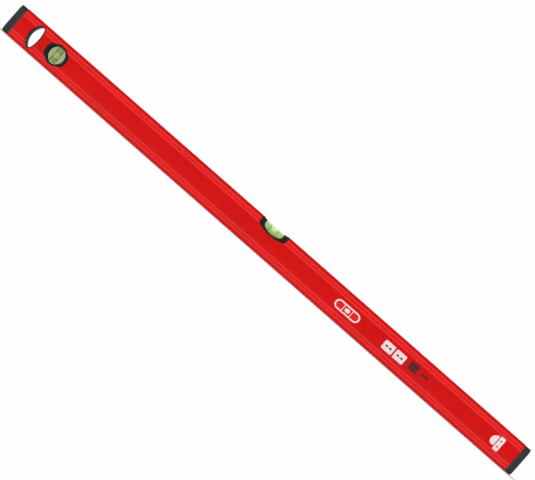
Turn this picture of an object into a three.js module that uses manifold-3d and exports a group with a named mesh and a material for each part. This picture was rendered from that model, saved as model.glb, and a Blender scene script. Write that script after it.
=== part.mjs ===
// A box-section spirit level with a level vial in its top edge and a plumb vial near its left end.
//
// Millimetres, +Z up. X runs along the beam, -Y is the front. The level stands on its lower measuring
// face, and the origin lies on that face under the middle of the beam.

import * as THREE from 'three';
import { mergeVertices } from 'three/addons/utils/BufferGeometryUtils.js';
import Module from 'manifold-3d';

const wasm = await Module();
wasm.setup();

// ---------------------------------------------------------------- driving dimensions

const LENGTH = 1000;             // over both end caps
const CAP_LENGTH = 11.6;         // what each end cap adds to the beam
const HEIGHT = 50;               // between the two measuring faces
const HALF_HEIGHT = HEIGHT / 2;
const HALF_WIDTH = 10.5;         // at the ridges, the widest place of the section
const FIT = 0.15;                // gap on each side between pieces that are glued or pressed together

// The section of the beam, measured down from a measuring face and in from the ridges.
const CREST = 8.2;               // from here out the side bends over to the measuring face
const SHOULDER_RADIUS = 9.5;
const EDGE_RADIUS = 1;           // where that bend meets the face
const GROOVE_START = 8.2;        // a fine groove runs along the band's lower edge
const GROOVE_FLOOR = 8.6;
const GROOVE_FLOOR_END = 9.1;
const GROOVE_END = 9.6;
const GROOVE_DEPTH = 0.5;
const RIDGE_END = 9.8;           // the side falls from the ridge to the recessed panel
const SLOPE_MIDDLE = 11.1;
const SLOPE_MIDDLE_DROP = 0.42;
const PANEL_START = 13.4;
const PANEL_RECESS = 0.7;
const SIDE_INNER = 8.1;          // half width of the hollow inside the beam
const FLANGE = 2.4;              // thickness under each measuring face
const HOLLOW_RADIUS = 2.5;

// End caps: a hard core that plugs the beam, with a rubber bumper on its flange.
const CAP_HALF_WIDTH = 9.9;
const CAP_HALF_HEIGHT = 24.4;
const CORE_FLANGE = 3;
const PLUG_LENGTH = 21;
const PLUG_INNER_RADIUS = 1;
const PLUG_GAP = 0.4;            // between the plug's walls and the hollow
const PLUG_WALL = 1.6;
const PLUG_RIB_HEIGHT = 7;       // the two cross ribs inside the plug lie this far from its middle
const CRUSH_RIB_HEIGHT = 13;     // the outer ribs that grip the beam
const CRUSH_RIB_WIDTH = 1;
const CRUSH_RIB_END = 2;         // the crush ribs stop this far from both ends of the plug
const STUD_RADIUS = 2.5;         // studs that hold the bumper
const STUD_LENGTH = 3;
const STUD_HEIGHT = 12;
const BUMPER_BEVEL = 1;

// Hand hole: two arcs that meet in rounded tips, the left one fuller than the right one.
const HAND_HOLE_X = -454.1;      // where the tips stand
const HAND_HOLE_HALF_HEIGHT = 20.2;
const HAND_HOLE_LEFT = 11.5;
const HAND_HOLE_RIGHT = 8;
const HAND_HOLE_TIP = 6;
const LINER_WALL = 1.7;
const INSERT_RISE = 0.4;         // the hand hole and the plumb vial sit this far over the middle
const INSERT_FACE = 10.4;        // half width over the black inserts, just under the ridges
const PARTING = 0.15;            // half the gap between a front and a back half

// Plumb vial: a round window with an ear on each side.
const PLUMB_X = -413.6;
const BEZEL_RADIUS = 16.7;
const BEZEL_SHOULDER = 13.4;     // height where the round part turns into an ear
const EAR_RADIUS = 19.2;
const EAR_HALF_HEIGHT = 10.6;
const WINDOW_HALF_HEIGHT = 14.2;
const WINDOW_HALF_WIDTH = 13.3;
const DISC_RADIUS = 15.4;        // the clear block of the plumb vial
const BLOCK_HALF_WIDTH = 6.9;    // half thickness of both clear blocks

// Level vial: a cradle dropped into a notch in the top edge. The notch and the cradle's window are
// both bowls, with upright sides and rounded corners over an arched floor.
const NOTCH_X = -1.1;
const NOTCH = { halfWidth: 25.6, corner: 6, floorRadius: 63, depth: 17.2 };
const CRADLE_WINDOW = { halfWidth: 16.7, corner: 6, floorRadius: 28.5, depth: 14.6 };
const CRADLE_TOP = 0.2;          // the cradle ends just under the measuring face
const CRADLE_BODY_DEPTH = 18.6;  // the part inside the hollow reaches lower than the notch
const CRADLE_BODY_HALF_WIDTH = 7.9;
const CHEEK_OVERLAP = 1;         // how far the cheeks outside reach into that part
const BLOCK_HALF_LENGTH = 21.5;
const BLOCK_TOP = 1.9;           // below the measuring face
const BLOCK_BOTTOM = 16;
const LEVEL_AXIS = 9;            // axis of the level vial below the measuring face

// What is inside each vial.
const CAVITY_RADIUS = 5.9;
const RING_OUTER = 5.8;
const RING_INNER = 5.5;
const RING_WIDTH = 0.6;
const LIQUID_RADIUS = 5.4;
const TROUGH_HALF_WIDTH = 4.1;   // the way that the bubble travels in
const TROUGH_WALL = 0.7;
const STOPPER_RADIUS = 5.7;
const LEVEL_VIAL = {
  halfLength: 18.3, stopper: 2.8, ringSpacing: 13.3, troughFloor: -1.2,
  bubble: { halfLength: 4.9, halfWidth: 3.9, halfHeight: 3, rise: 2 },
};
const PLUMB_VIAL = {
  halfLength: 12.4, stopper: 1.5, ringSpacing: 10.5, troughFloor: -2.5,
  bubble: { halfLength: 5.3, halfWidth: 3.9, halfHeight: 3.6, rise: 1.4 },
};

const OVERSHOOT = 5;             // cutters run this far past what they cut
const ROUND_SIDES = 48;          // sides of the round windows and of the clear disc
const ROD_SIDES = 24;            // sides of the tubes, rings and stoppers
const STUD_SIDES = 16;
const OUTLINE_SEGMENTS = 8;      // half the facets of each arc of an outline cut through the beam
const CORNER_SEGMENTS = 3;       // facets of the small roundings along the beam and the caps
const BUBBLE_SIDES = 16;
const BUBBLE_BANDS = 10;
const MERGE_TOLERANCE = 1e-4;

const FINISH = {
  paint: { color: 0xd41210, roughness: 0.4, metalness: 0.1 },
  insert: { color: 0x2a2826, roughness: 0.55, metalness: 0 },
  core: { color: 0x2c2b2b, roughness: 0.6, metalness: 0 },
  rubber: { color: 0x343232, roughness: 0.8, metalness: 0 },
  clear: { color: 0xe8efd8, roughness: 0.08, metalness: 0 },
  liquid: { color: 0xabd45f, roughness: 0.1, metalness: 0 },
  bubble: { color: 0xe4f5b6, roughness: 0.1, metalness: 0 },
  ring: { color: 0x26301c, roughness: 0.5, metalness: 0 },
  stopper: { color: 0xd8e2c0, roughness: 0.3, metalness: 0 },
};

// ---------------------------------------------------------------- helpers

function solidOf(geometry) {
  const bare = geometry.clone();
  bare.deleteAttribute('normal');
  bare.deleteAttribute('uv');
  const merged = mergeVertices(bare, MERGE_TOLERANCE);
  return new wasm.Manifold(new wasm.Mesh({
    numProp: 3,
    vertProperties: new Float32Array(merged.attributes.position.array),
    triVerts: new Uint32Array(merged.index.array),
  }));
}

function geometryOf(solid) {
  const { vertProperties, triVerts } = solid.getMesh();
  const geometry = new THREE.BufferGeometry();
  geometry.setAttribute('position', new THREE.BufferAttribute(new Float32Array(vertProperties), 3));
  geometry.setIndex(new THREE.BufferAttribute(new Uint32Array(triVerts), 1));
  geometry.computeVertexNormals();
  return geometry;
}

function join(first, ...others) {
  return geometryOf(others.reduce((solid, other) => solid.add(solidOf(other)), solidOf(first)));
}

function cut(first, ...others) {
  return geometryOf(others.reduce((solid, other) => solid.subtract(solidOf(other)), solidOf(first)));
}

function common(first, second) {
  return geometryOf(solidOf(first).intersect(solidOf(second)));
}

function piece(name, geometry, finish) {
  const mesh = new THREE.Mesh(geometry, new THREE.MeshStandardMaterial(FINISH[finish]));
  mesh.name = name;
  return mesh;
}

function box(x0, x1, y0, y1, z0, z1) {
  const geometry = new THREE.BoxGeometry(x1 - x0, y1 - y0, z1 - z0);
  return geometry.translate((x0 + x1) / 2, (y0 + y1) / 2, (z0 + z1) / 2);
}

// A shape drawn in X and Z, extruded from y0 to y1.
function prismY(shape, y0, y1) {
  const settings = { depth: y1 - y0, bevelEnabled: false, curveSegments: OUTLINE_SEGMENTS };
  const geometry = new THREE.ExtrudeGeometry(shape, settings);
  return geometry.rotateX(Math.PI / 2).translate(0, y1, 0);
}

// A shape drawn in Y and Z, extruded from x0 to x1.
function prismX(shape, x0, x1, options = {}) {
  const settings = { depth: x1 - x0, bevelEnabled: false, curveSegments: CORNER_SEGMENTS, ...options };
  const geometry = new THREE.ExtrudeGeometry(shape, settings);
  const turned = new THREE.Matrix4().makeBasis(
    new THREE.Vector3(0, 1, 0), new THREE.Vector3(0, 0, 1), new THREE.Vector3(1, 0, 0));
  return geometry.applyMatrix4(turned).translate(x0, 0, 0);
}

function rodX(radius, x0, x1, sides = ROD_SIDES) {
  const geometry = new THREE.CylinderGeometry(radius, radius, x1 - x0, sides);
  return geometry.rotateZ(-Math.PI / 2).translate((x0 + x1) / 2, 0, 0);
}

function rodY(radius, y0, y1, sides) {
  const geometry = new THREE.CylinderGeometry(radius, radius, y1 - y0, sides);
  return geometry.translate(0, (y0 + y1) / 2, 0);
}

function roundedRectangle(halfWidth, halfHeight, radius) {
  const shape = new THREE.Shape();
  const corners = [[1, 1, 0], [-1, 1, 1], [-1, -1, 2], [1, -1, 3]];
  for (const [y, z, quarter] of corners) {
    const start = quarter * Math.PI / 2;
    shape.absarc(y * (halfWidth - radius), z * (halfHeight - radius), radius, start, start + Math.PI / 2);
  }
  return shape.closePath();
}

// ---------------------------------------------------------------- beam

// One corner of the section, drawn from the measuring face out and down to the crest of the side.
function shoulder(halfWidth, halfHeight) {
  const shoulderY = halfWidth - SHOULDER_RADIUS;
  const span = Math.sqrt((SHOULDER_RADIUS - EDGE_RADIUS) ** 2 - (CREST - EDGE_RADIUS) ** 2);
  const lean = Math.atan2(CREST - EDGE_RADIUS, span);
  const path = new THREE.Path();
  path.absarc(shoulderY + span, halfHeight - EDGE_RADIUS, EDGE_RADIUS, Math.PI / 2, lean, true);
  path.absarc(shoulderY, halfHeight - CREST, SHOULDER_RADIUS, lean, 0, true);
  return path;
}

// A whole section from its corner at +Y +Z.
function mirroredSection(corner) {
  const quarter = corner.getPoints(CORNER_SEGMENTS);
  const mirrored = (y, z) => quarter.map((point) => new THREE.Vector2(point.x * y, point.y * z));
  return new THREE.Shape([
    ...mirrored(1, 1),
    ...mirrored(1, -1).reverse(),
    ...mirrored(-1, -1),
    ...mirrored(-1, 1).reverse(),
  ].reverse());
}

// The outline of a cap or of an insert that follows the beam's section without its grooves.
function plainSection(halfWidth, halfHeight) {
  return mirroredSection(shoulder(halfWidth, halfHeight));
}

function beamSection() {
  const corner = shoulder(HALF_WIDTH, HALF_HEIGHT);
  corner.lineTo(HALF_WIDTH, HALF_HEIGHT - GROOVE_START);
  corner.lineTo(HALF_WIDTH - GROOVE_DEPTH, HALF_HEIGHT - GROOVE_FLOOR);
  corner.lineTo(HALF_WIDTH - GROOVE_DEPTH, HALF_HEIGHT - GROOVE_FLOOR_END);
  corner.lineTo(HALF_WIDTH, HALF_HEIGHT - GROOVE_END);
  corner.lineTo(HALF_WIDTH, HALF_HEIGHT - RIDGE_END);
  corner.lineTo(HALF_WIDTH - SLOPE_MIDDLE_DROP, HALF_HEIGHT - SLOPE_MIDDLE);
  corner.lineTo(HALF_WIDTH - PANEL_RECESS, HALF_HEIGHT - PANEL_START);
  return mirroredSection(corner);
}

function beam() {
  const half = LENGTH / 2 - CAP_LENGTH;
  const outside = prismX(beamSection(), -half, half).translate(0, 0, HALF_HEIGHT);
  const hollowShape = roundedRectangle(SIDE_INNER, HALF_HEIGHT - FLANGE, HOLLOW_RADIUS);
  const hollow = prismX(hollowShape, -half - OVERSHOOT, half + OVERSHOOT).translate(0, 0, HALF_HEIGHT);
  const through = HALF_WIDTH + OVERSHOOT;
  const insertHeight = HALF_HEIGHT + INSERT_RISE;
  const handHole = prismY(handHoleShape(0), -through, through).translate(HAND_HOLE_X, 0, insertHeight);
  const plumbHole = prismY(plumbShape(0), -through, through).translate(PLUMB_X, 0, insertHeight);
  const notch = prismY(bowlShape(NOTCH, 0, OVERSHOOT), -through, through).translate(NOTCH_X, 0, HEIGHT);
  return piece('beam', cut(outside, hollow, handHole, plumbHole, notch), 'paint');
}

// ---------------------------------------------------------------- end caps

// Modelled for the right end: the beam ends at x = 0, and the cap goes on towards +X.
function endCap(side) {
  const flangeShape = plainSection(CAP_HALF_WIDTH, CAP_HALF_HEIGHT);
  const plugHalfWidth = SIDE_INNER - PLUG_GAP;
  const plugHalfHeight = HALF_HEIGHT - FLANGE - PLUG_GAP;
  const plug = cut(
    prismX(roundedRectangle(plugHalfWidth, plugHalfHeight, HOLLOW_RADIUS), -PLUG_LENGTH, CORE_FLANGE / 2),
    prismX(roundedRectangle(plugHalfWidth - PLUG_WALL, plugHalfHeight - PLUG_WALL, PLUG_INNER_RADIUS),
      -PLUG_LENGTH - OVERSHOOT, -PLUG_WALL),
  );
  const pieces = [prismX(flangeShape, FIT, CORE_FLANGE), plug];
  for (const way of [-1, 1]) {
    const rib = way * PLUG_RIB_HEIGHT;
    const inner = plugHalfWidth - PLUG_WALL / 2;
    pieces.push(box(-PLUG_LENGTH, 0, -inner, inner, rib - PLUG_WALL / 2, rib + PLUG_WALL / 2));
    pieces.push(rodX(STUD_RADIUS, CORE_FLANGE / 2, CORE_FLANGE + STUD_LENGTH, STUD_SIDES)
      .translate(0, 0, way * STUD_HEIGHT));
    for (const height of [-CRUSH_RIB_HEIGHT, CRUSH_RIB_HEIGHT]) {
      const reach = way * (SIDE_INNER - FIT);
      const root = way * (plugHalfWidth - PLUG_WALL / 2);
      pieces.push(box(CRUSH_RIB_END - PLUG_LENGTH, -CRUSH_RIB_END,
        Math.min(root, reach), Math.max(root, reach),
        height - CRUSH_RIB_WIDTH / 2, height + CRUSH_RIB_WIDTH / 2));
    }
  }
  const studHoles = [-STUD_HEIGHT, STUD_HEIGHT].map((height) => (
    rodX(STUD_RADIUS + FIT, CORE_FLANGE - OVERSHOOT, CORE_FLANGE + STUD_LENGTH + FIT, STUD_SIDES)
      .translate(0, 0, height)));
  const pad = prismX(
    plainSection(CAP_HALF_WIDTH - BUMPER_BEVEL, CAP_HALF_HEIGHT - BUMPER_BEVEL),
    CORE_FLANGE + FIT - BUMPER_BEVEL, CAP_LENGTH - BUMPER_BEVEL,
    { bevelEnabled: true, bevelThickness: BUMPER_BEVEL, bevelSize: BUMPER_BEVEL,
      bevelSegments: CORNER_SEGMENTS });
  const behind = box(-OVERSHOOT, CORE_FLANGE + FIT, -2 * HALF_WIDTH, 2 * HALF_WIDTH, -HEIGHT, HEIGHT);
  const group = new THREE.Group();
  group.add(piece(`end_cap_${side}_core`, join(...pieces), 'core'));
  group.add(piece(`end_cap_${side}_bumper`, cut(pad, behind, ...studHoles), 'rubber'));
  const way = side === 'left' ? -1 : 1;
  group.position.set(way * (LENGTH / 2 - CAP_LENGTH), 0, HALF_HEIGHT);
  group.rotation.z = side === 'left' ? Math.PI : 0;
  return group;
}

// ---------------------------------------------------------------- hand hole

// Both side arcs touch the two tip circles, so growing the shape by an offset keeps their centres.
function handHoleShape(offset) {
  const tip = HAND_HOLE_TIP + offset;
  const tipHeight = HAND_HOLE_HALF_HEIGHT - HAND_HOLE_TIP;
  const arc = (bulge) => {
    const beyondTip = bulge - HAND_HOLE_TIP;
    const centre = (tipHeight ** 2 - beyondTip ** 2) / (2 * beyondTip);
    return { centre, radius: centre + bulge + offset, lean: Math.atan2(tipHeight, centre) };
  };
  const left = arc(HAND_HOLE_LEFT);
  const right = arc(HAND_HOLE_RIGHT);
  const shape = new THREE.Shape();
  shape.absarc(-right.centre, 0, right.radius, -right.lean, right.lean);
  shape.absarc(0, tipHeight, tip, right.lean, Math.PI - left.lean);
  shape.absarc(left.centre, 0, left.radius, Math.PI - left.lean, Math.PI + left.lean);
  shape.absarc(0, -tipHeight, tip, Math.PI + left.lean, 2 * Math.PI - right.lean);
  return shape.closePath();
}

function handHole() {
  const group = new THREE.Group();
  for (const [name, y0, y1] of [['front', -INSERT_FACE, -PARTING], ['back', PARTING, INSERT_FACE]]) {
    const sleeve = cut(
      prismY(handHoleShape(-FIT), y0, y1),
      prismY(handHoleShape(-LINER_WALL), y0 - OVERSHOOT, y1 + OVERSHOOT),
    );
    group.add(piece(`hand_hole_liner_${name}`, sleeve, 'insert'));
  }
  group.position.set(HAND_HOLE_X, 0, HALF_HEIGHT + INSERT_RISE);
  return group;
}

// ---------------------------------------------------------------- what is inside a vial

// The tube's axis is X. It's filled from its +X end, and the bubble lies on its +Z side.
function vialContents(prefix, vial, ringNames) {
  const { halfLength, bubble } = vial;
  const trough = box(-halfLength + TROUGH_WALL, halfLength - TROUGH_WALL,
    -TROUGH_HALF_WIDTH, TROUGH_HALF_WIDTH, vial.troughFloor, CAVITY_RADIUS);
  const liquid = cut(rodX(LIQUID_RADIUS, -halfLength, halfLength), trough);
  const gas = new THREE.SphereGeometry(1, BUBBLE_SIDES, BUBBLE_BANDS)
    .rotateZ(Math.PI / 2)
    .scale(bubble.halfLength, bubble.halfWidth, bubble.halfHeight)
    .translate(0, 0, bubble.rise);
  const stopper = rodX(STOPPER_RADIUS, halfLength + FIT, halfLength + FIT + vial.stopper);
  const pieces = [
    piece(`${prefix}_vial_liquid`, liquid, 'liquid'),
    piece(`${prefix}_vial_bubble`, geometryOf(solidOf(gas)), 'bubble'),
    piece(`${prefix}_vial_stopper`, stopper, 'stopper'),
  ];
  ringNames.forEach((name, index) => {
    const centre = (index - 0.5) * vial.ringSpacing;
    const ring = cut(
      rodX(RING_OUTER, centre - RING_WIDTH / 2, centre + RING_WIDTH / 2),
      rodX(RING_INNER, centre - OVERSHOOT, centre + OVERSHOOT),
    );
    pieces.push(piece(`${prefix}_vial_ring_${name}`, ring, 'ring'));
  });
  return pieces;
}

// ---------------------------------------------------------------- plumb vial

function plumbShape(gap) {
  const round = BEZEL_RADIUS - gap;
  const ear = EAR_RADIUS - gap;
  const earTurn = Math.asin((EAR_HALF_HEIGHT - gap) / ear);
  const roundTurn = Math.asin((BEZEL_SHOULDER - gap) / round);
  const shape = new THREE.Shape();
  shape.absarc(0, 0, ear, -earTurn, earTurn);
  shape.absarc(0, 0, round, roundTurn, Math.PI - roundTurn);
  shape.absarc(0, 0, ear, Math.PI - earTurn, Math.PI + earTurn);
  shape.absarc(0, 0, round, Math.PI + roundTurn, 2 * Math.PI - roundTurn);
  return shape.closePath();
}

// The front half; the back half is the same moulding turned round.
function plumbBezel(name) {
  const pocket = rodY(DISC_RADIUS + FIT, -BLOCK_HALF_WIDTH - FIT, OVERSHOOT, ROUND_SIDES);
  const window = rodY(WINDOW_HALF_HEIGHT, -INSERT_FACE - OVERSHOOT, OVERSHOOT, ROUND_SIDES)
    .scale(WINDOW_HALF_WIDTH / WINDOW_HALF_HEIGHT, 1, 1);
  const moulding = prismY(plumbShape(FIT), -INSERT_FACE, -PARTING);
  const bezel = piece(`plumb_bezel_${name}`, cut(moulding, pocket, window), 'insert');
  bezel.rotation.z = name === 'back' ? Math.PI : 0;
  return bezel;
}

function plumbVial() {
  const vial = new THREE.Group();
  const disc = rodY(DISC_RADIUS, -BLOCK_HALF_WIDTH, BLOCK_HALF_WIDTH, ROUND_SIDES).rotateX(Math.PI / 2);
  const bore = rodX(CAVITY_RADIUS, -PLUMB_VIAL.halfLength - FIT, DISC_RADIUS + OVERSHOOT);
  vial.add(piece('plumb_vial_block', cut(disc, bore), 'clear'));
  vial.add(...vialContents('plumb', PLUMB_VIAL, ['lower', 'upper']));
  // The tube's axis turns upright, and the bubble's side turns to the front.
  vial.setRotationFromMatrix(new THREE.Matrix4().makeBasis(
    new THREE.Vector3(0, 0, 1), new THREE.Vector3(-1, 0, 0), new THREE.Vector3(0, -1, 0)));
  const group = new THREE.Group();
  group.add(plumbBezel('front'), plumbBezel('back'), vial);
  group.position.set(PLUMB_X, 0, HALF_HEIGHT + INSERT_RISE);
  return group;
}

// ---------------------------------------------------------------- level vial

// A bowl drawn from the top measuring face down and shrunk by gap. Its top runs on by rise.
function bowlShape({ halfWidth, corner, floorRadius, depth }, gap, rise) {
  const cornerX = halfWidth - corner;
  const floorCentre = floorRadius - depth;
  const cornerZ = floorCentre - Math.sqrt((floorRadius - corner) ** 2 - cornerX ** 2);
  const lean = Math.atan2(cornerX, floorCentre - cornerZ);
  const down = -Math.PI / 2;
  const shape = new THREE.Shape();
  shape.moveTo(gap - halfWidth, rise);
  shape.lineTo(gap - halfWidth, cornerZ);
  shape.absarc(-cornerX, cornerZ, corner - gap, -Math.PI, down - lean);
  shape.absarc(0, floorCentre, floorRadius - gap, down - lean, down + lean);
  shape.absarc(cornerX, cornerZ, corner - gap, down + lean, 0);
  shape.lineTo(halfWidth - gap, rise);
  return shape.closePath();
}

// The cheek outside and the part inside the hollow both bend over with the beam's shoulder.
function cradle(name) {
  const cheek = prismY(bowlShape(NOTCH, FIT, -CRADLE_TOP),
    -INSERT_FACE, CHEEK_OVERLAP - CRADLE_BODY_HALF_WIDTH);
  const half = NOTCH.halfWidth - 2 * FIT;
  const body = box(-half, half, -CRADLE_BODY_HALF_WIDTH, -PARTING, -CRADLE_BODY_DEPTH, -CRADLE_TOP);
  const bar = prismX(plainSection(INSERT_FACE, HALF_HEIGHT - CRADLE_TOP),
    -NOTCH.halfWidth, NOTCH.halfWidth).translate(0, 0, -HALF_HEIGHT);
  const bent = common(join(cheek, body), bar);
  const pocketEnd = BLOCK_HALF_LENGTH + FIT;
  const pocket = box(-pocketEnd, pocketEnd, -BLOCK_HALF_WIDTH - FIT, OVERSHOOT,
    -BLOCK_BOTTOM - FIT, OVERSHOOT);
  const window = prismY(bowlShape(CRADLE_WINDOW, 0, OVERSHOOT), -INSERT_FACE - OVERSHOOT, OVERSHOOT);
  const moulding = piece(`centre_cradle_${name}`, cut(bent, pocket, window), 'insert');
  moulding.rotation.z = name === 'back' ? Math.PI : 0;
  return moulding;
}

function levelVial() {
  const block = box(-BLOCK_HALF_LENGTH, BLOCK_HALF_LENGTH, -BLOCK_HALF_WIDTH, BLOCK_HALF_WIDTH,
    LEVEL_AXIS - BLOCK_BOTTOM, LEVEL_AXIS - BLOCK_TOP);
  const bore = rodX(CAVITY_RADIUS, -LEVEL_VIAL.halfLength - FIT, BLOCK_HALF_LENGTH + OVERSHOOT);
  const vial = new THREE.Group();
  vial.add(piece('centre_vial_block', cut(block, bore), 'clear'));
  vial.add(...vialContents('centre', LEVEL_VIAL, ['left', 'right']));
  vial.position.z = -LEVEL_AXIS;
  const group = new THREE.Group();
  group.add(cradle('front'), cradle('back'), vial);
  group.position.set(NOTCH_X, 0, HEIGHT);
  return group;
}

// ---------------------------------------------------------------- the level

const spiritLevel = new THREE.Group();
spiritLevel.add(beam(), endCap('left'), endCap('right'), handHole(), plumbVial(), levelVial());

export default spiritLevel;
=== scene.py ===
"""The finished look of a box-section spirit level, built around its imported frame.

The frame gives every place and every overall size. This file adds what the frame leaves plain: the
crowned and coated section of the beam, rounded moulded inserts, clear vial blocks with their spirit,
bubbles and reading rings, the printed marks, and a pale studio to see it all in.
"""

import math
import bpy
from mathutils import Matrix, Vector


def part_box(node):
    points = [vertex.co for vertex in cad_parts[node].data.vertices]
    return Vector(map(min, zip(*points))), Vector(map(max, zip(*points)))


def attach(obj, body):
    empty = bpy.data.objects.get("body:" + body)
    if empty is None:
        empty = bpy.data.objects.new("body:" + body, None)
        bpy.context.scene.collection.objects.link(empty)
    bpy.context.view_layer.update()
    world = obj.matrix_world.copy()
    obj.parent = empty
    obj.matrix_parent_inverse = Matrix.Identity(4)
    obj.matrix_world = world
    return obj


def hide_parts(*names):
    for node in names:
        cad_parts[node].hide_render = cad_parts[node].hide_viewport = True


bl_info = {
    "name": "Spirit Level",
    "version": (1, 0, 0),
    "blender": (4, 5, 0),
    "location": "View3D > Sidebar > Spirit Level",
    "description": "Builds the finished pieces, materials and studio of a box-section spirit level",
    "category": "Object",
}

import bmesh
import bpy
from mathutils import Matrix, Vector

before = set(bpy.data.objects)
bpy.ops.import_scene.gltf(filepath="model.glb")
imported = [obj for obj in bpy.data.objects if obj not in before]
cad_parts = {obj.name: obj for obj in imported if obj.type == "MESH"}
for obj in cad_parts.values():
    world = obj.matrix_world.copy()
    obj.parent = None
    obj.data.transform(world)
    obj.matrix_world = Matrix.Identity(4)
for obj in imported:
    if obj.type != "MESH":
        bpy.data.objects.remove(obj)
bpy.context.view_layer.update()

MM = 0.001

# ---------------------------------------------------------------- places, from the frame

BEAM_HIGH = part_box("beam")[1]
HALF_LENGTH = BEAM_HIGH.x
HALF_WIDTH = BEAM_HIGH.y
HEIGHT = BEAM_HIGH.z
MIDDLE = HEIGHT / 2


def middle_of(node):
    """The middle of a frame node's box."""
    low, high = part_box(node)
    return (low + high) / 2


PLUMB = middle_of("plumb_vial_block")
LEVEL = Vector((middle_of("centre_vial_block").x, 0, middle_of("centre_vial_stopper").z))
INSERT_FACE = -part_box("plumb_bezel_front")[0].y
PARTING = -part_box("plumb_bezel_front")[1].y
CRADLE_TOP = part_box("centre_cradle_front")[1].z

# ---------------------------------------------------------------- fixed details of the pieces

FIT = 0.15 * MM               # gap between an insert and the hole it sits in
CUTTER_REACH = 20 * MM        # cutters run this far past the middle plane

# The section, measured down from a measuring face.
CREST = 8.2 * MM              # from here out the side bends over to the measuring face
SHOULDER_RADIUS = 9.5 * MM
EDGE_RADIUS = 1 * MM          # where that bend meets the face
GROOVE_START = 8.2 * MM
GROOVE_END = 9.6 * MM
RIDGE_END = 9.8 * MM
PANEL_START = 13.4 * MM
HOLLOW_HALF_WIDTH = 8.1 * MM
FLANGE = 2.4 * MM
HOLLOW_RADIUS = 2.5 * MM
PROFILE_STEPS = 8             # facets of the groove, and of the fall to the panel

# The hand hole is two side arcs that touch two tip circles.
HAND_HOLE_HALF_HEIGHT = 20.2 * MM
HAND_HOLE_LEFT = 11.5 * MM
HAND_HOLE_RIGHT = 8 * MM
HAND_HOLE_TIP = 6 * MM
HAND_HOLE = Vector((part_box("hand_hole_liner_front")[0].x - FIT + HAND_HOLE_LEFT, 0,
                    middle_of("hand_hole_liner_front").z))
LINER_WALL = 1.7 * MM

# The plumb bezel is a round with an ear on each side.
BEZEL_RADIUS = 16.7 * MM
BEZEL_SHOULDER = 13.4 * MM
EAR_RADIUS = 19.2 * MM
EAR_HALF_HEIGHT = 10.6 * MM
WINDOW = (13.3 * MM, 14.2 * MM)
POCKET = (15.55 * MM, 15.55 * MM)

# The bezel's mouth in millimetres: how much wider than the window it is, and how far under its face.
MOUTH = ((1.4, 0), (1.2, 0.04), (1.05, 0.2), (0.1, 1.5), (0, 1.8))

# The notch of the level vial and the window of its cradle are bowls with an arched floor:
# half width, corner radius, floor radius and depth below the upper measuring face.
NOTCH = (25.6 * MM, 6 * MM, 63 * MM, 17.2 * MM)
CRADLE_WINDOW = (16.7 * MM, 6 * MM, 28.5 * MM, 14.6 * MM)
CRADLE_BODY_HALF_WIDTH = 7.9 * MM

# The vials: the layers lie one inside the other, and only a bubble shares its place with the spirit.
BORE_RADIUS = 5.9 * MM
RING_OUTER = 5.89 * MM
RING_INNER = 5.82 * MM
RING_WIDTH = 0.6 * MM
BUBBLE_REACH = 5.78 * MM
SPIRIT_RADIUS = 5.72 * MM

# Bubbles: half the length, and half the angle of the bore's wall that each one covers.
LEVEL_BUBBLE = (5 * MM, math.radians(85))
PLUMB_BUBBLE = (5.5 * MM, math.radians(50))
BUBBLE_BLUNTNESS = 0.8        # below 1 the ends of a bubble are blunter than an ellipse
BUBBLE_SAG = 0.35             # how far its underside bulges, as a share of its half width

# Roundings of the edges.
BEAM_EDGE = 0.2 * MM
DISC_EDGE = 0.5 * MM
SQUARE_EDGE = 0.4 * MM
SPIRIT_EDGE = 0.6 * MM
STOPPER_EDGE = 0.3 * MM
CORE_EDGE = 0.25 * MM
BUMPER_EDGE = 0.3 * MM
CRADLE_EDGE_SHARE = 0.6       # the cradle's rounding, as a share of the other inserts'

POLISHED_FACE = 30 * MM ** 2  # a clear block's faces larger than this are shaded flat

ROUND_STEPS = 96              # sides of whole rounds
ARC_STEPS = 24                # facets of a long arc in an outline
CORNER_STEPS = 5              # facets of a small rounding


# ---------------------------------------------------------------- colour and nodes


def linear(code):
    """An sRGB hex colour as linear red, green, blue and alpha."""
    parts = [int(code[i:i + 2], 16) / 255 for i in (1, 3, 5)]
    return [c / 12.92 if c <= 0.04045 else ((c + 0.055) / 1.055) ** 2.4 for c in parts] + [1.0]


def add(tree, kind, inputs=None, **settings):
    """A new node in tree, with its settings, and its inputs given values or linked to other sockets."""
    node = tree.nodes.new(kind)
    for name, value in settings.items():
        setattr(node, name, value)
    for name, value in (inputs or {}).items():
        if isinstance(value, bpy.types.NodeSocket):
            tree.links.new(value, node.inputs[name])
        else:
            node.inputs[name].default_value = value
    return node


def maths(tree, operation, first, second=0.0):
    """The result of a sum on one or two values."""
    return add(tree, "ShaderNodeMath", {0: first, 1: second}, operation=operation).outputs[0]


def per_mm(size):
    """The scale of a pattern on coordinates in metres whose features are size millimetres across."""
    return 1000 / size


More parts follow.
